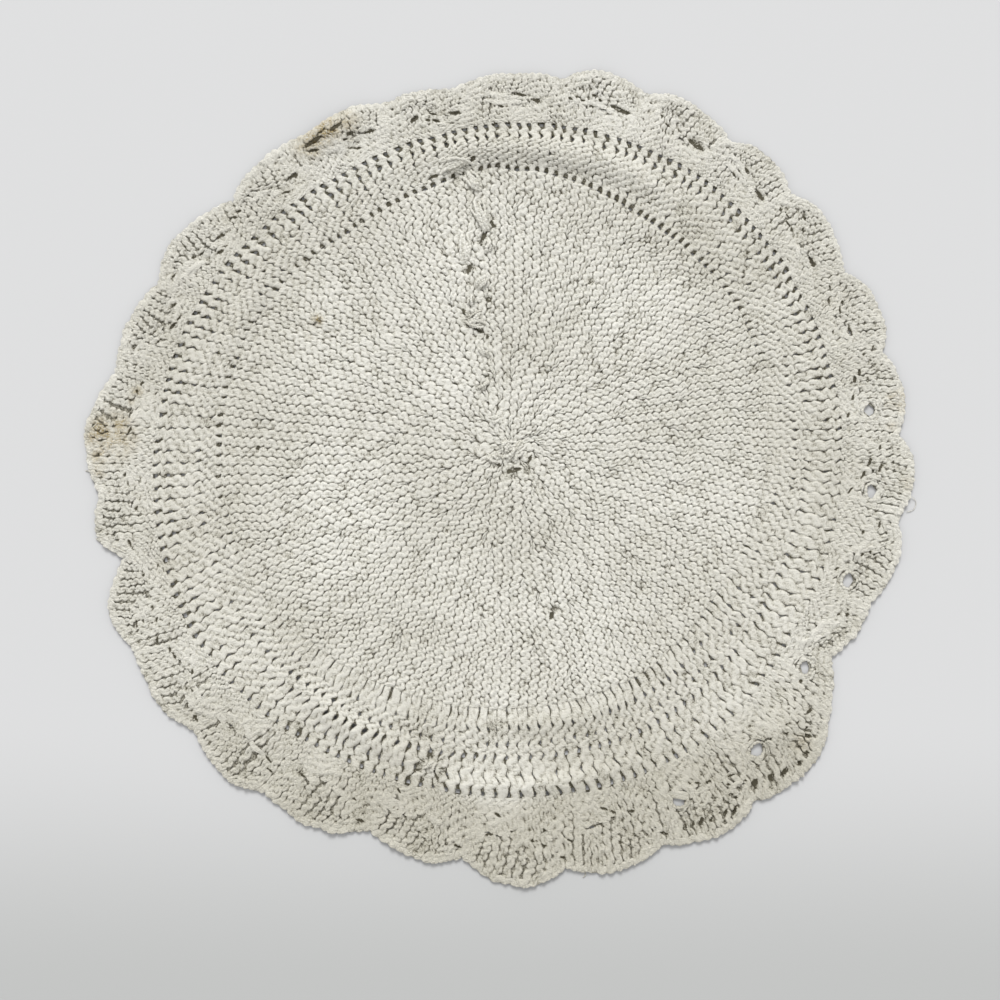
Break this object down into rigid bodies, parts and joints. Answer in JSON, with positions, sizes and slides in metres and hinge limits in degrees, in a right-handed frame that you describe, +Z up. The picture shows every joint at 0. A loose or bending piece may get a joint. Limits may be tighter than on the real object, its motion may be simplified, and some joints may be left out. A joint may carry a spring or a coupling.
{
  "type": "knitted lace doily",
  "caption": "Round hand-knitted cotton doily: a ribbed disc with a sewn seam, a ring of open net and a scalloped leaf edging, lying nearly flat with a few soft folds.",
  "frame": {"origin": "on the surface that the doily lies on, under the middle of its outline's box", "axes": "+Z up through the cloth, +Y from the hub towards the sewn seam, +X to the right seen from above"},
  "size_m": [0.4632, 0.4558, 0.0073],
  "materials": {
    "cotton": "matte off-white cotton yarn, garter-stitch ribs, a little felted, with faint age stains"
  },
  "bodies": {
    "root": {"doily": "cotton"}
  },
  "joints": []
}
